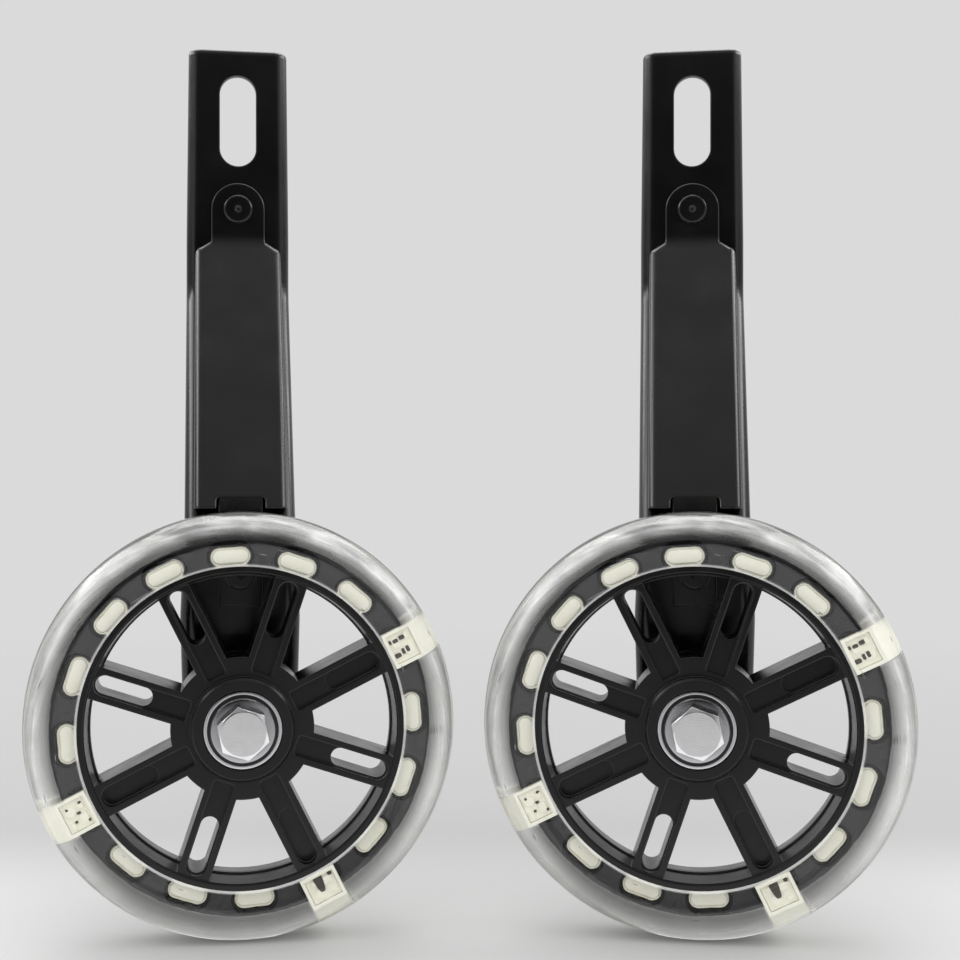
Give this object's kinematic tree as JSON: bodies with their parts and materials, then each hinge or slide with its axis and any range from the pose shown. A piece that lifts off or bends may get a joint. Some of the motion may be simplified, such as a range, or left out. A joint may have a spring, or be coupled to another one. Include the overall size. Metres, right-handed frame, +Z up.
{
  "type": "bicycle training wheels",
  "caption": "Pair of bicycle training wheels: bent black steel arms with an axle slot and brace, each carrying a clear-tyred spoked wheel with lights on ball bearings.",
  "frame": {"origin": "on the ground, at the centre of the pair's bounding box", "axes": "+Z up, +X from the left unit to the right one, -Y towards the wheels' outer side with the bolt heads"},
  "size_m": [0.2481, 0.0922, 0.2685],
  "materials": {
    "black_paint": "satin black paint",
    "zinc_steel": "bright zinc",
    "black_nylon": "satin moulded",
    "clear_polyurethane": "clear cast",
    "cream_case": "moulded cream",
    "light_board": "lacquered",
    "bearing_steel": "ground",
    "seal_rubber": "matte"
  },
  "bodies": {
    "brackets": {"left_arm": "black_paint", "left_brace": "black_paint", "left_upper_rivet": "black_paint", "left_lower_rivet": "black_paint", "left_axle_bolt": "zinc_steel", "left_bolt_washer": "zinc_steel", "left_standoff_bush": "zinc_steel", "left_lock_washer": "zinc_steel", "left_axle_nut": "zinc_steel", "left_bearing_spacer": "zinc_steel", "left_front_inner_ring": "bearing_steel", "left_rear_inner_ring": "bearing_steel", "right_arm": "black_paint", "right_brace": "black_paint", "right_upper_rivet": "black_paint", "right_lower_rivet": "black_paint", "right_axle_bolt": "zinc_steel", "right_bolt_washer": "zinc_steel", "right_standoff_bush": "zinc_steel", "right_lock_washer": "zinc_steel", "right_axle_nut": "zinc_steel", "right_bearing_spacer": "zinc_steel", "right_front_inner_ring": "bearing_steel", "right_rear_inner_ring": "bearing_steel"},
    "left_wheel": {"left_wheel_core": "black_nylon", "left_tyre": "clear_polyurethane", "left_light_case_1": "cream_case", "left_light_case_2": "cream_case", "left_light_case_3": "cream_case", "left_light_board_1": "light_board", "left_light_board_2": "light_board", "left_light_board_3": "light_board", "left_front_outer_ring": "bearing_steel", "left_front_seals": "seal_rubber", "left_rear_outer_ring": "bearing_steel", "left_rear_seals": "seal_rubber"},
    "left_ball_sets": {"left_front_balls": "bearing_steel", "left_front_cage": "bearing_steel", "left_rear_balls": "bearing_steel", "left_rear_cage": "bearing_steel"},
    "right_wheel": {"right_wheel_core": "black_nylon", "right_tyre": "clear_polyurethane", "right_light_case_1": "cream_case", "right_light_case_2": "cream_case", "right_light_case_3": "cream_case", "right_light_board_1": "light_board", "right_light_board_2": "light_board", "right_light_board_3": "light_board", "right_front_outer_ring": "bearing_steel", "right_front_seals": "seal_rubber", "right_rear_outer_ring": "bearing_steel", "right_rear_seals": "seal_rubber"},
    "right_ball_sets": {"right_front_balls": "bearing_steel", "right_front_cage": "bearing_steel", "right_rear_balls": "bearing_steel", "right_rear_cage": "bearing_steel"}
  },
  "joints": [
    {"name": "left_wheel_spin", "type": "hinge", "parent": "brackets", "child": "left_wheel", "pos_m": [-0.0642, -0.02654, 0.06], "axis": [-0.1513, 0.9885, 0], "continuous": true},
    {"name": "left_ball_orbit", "type": "hinge", "parent": "brackets", "child": "left_ball_sets", "pos_m": [-0.0642, -0.02654, 0.06], "axis": [-0.1513, 0.9885, 0], "continuous": true},
    {"name": "right_wheel_spin", "type": "hinge", "parent": "brackets", "child": "right_wheel", "pos_m": [0.0642, -0.02654, 0.06], "axis": [0.1513, 0.9885, 0], "continuous": true},
    {"name": "right_ball_orbit", "type": "hinge", "parent": "brackets", "child": "right_ball_sets", "pos_m": [0.0642, -0.02654, 0.06], "axis": [0.1513, 0.9885, 0], "continuous": true}
  ],
  "couplings": [
    {"joint": "left_ball_orbit", "follows": "left_wheel_spin", "ratio": 0.63142},
    {"joint": "right_ball_orbit", "follows": "right_wheel_spin", "ratio": 0.63142}
  ]
}
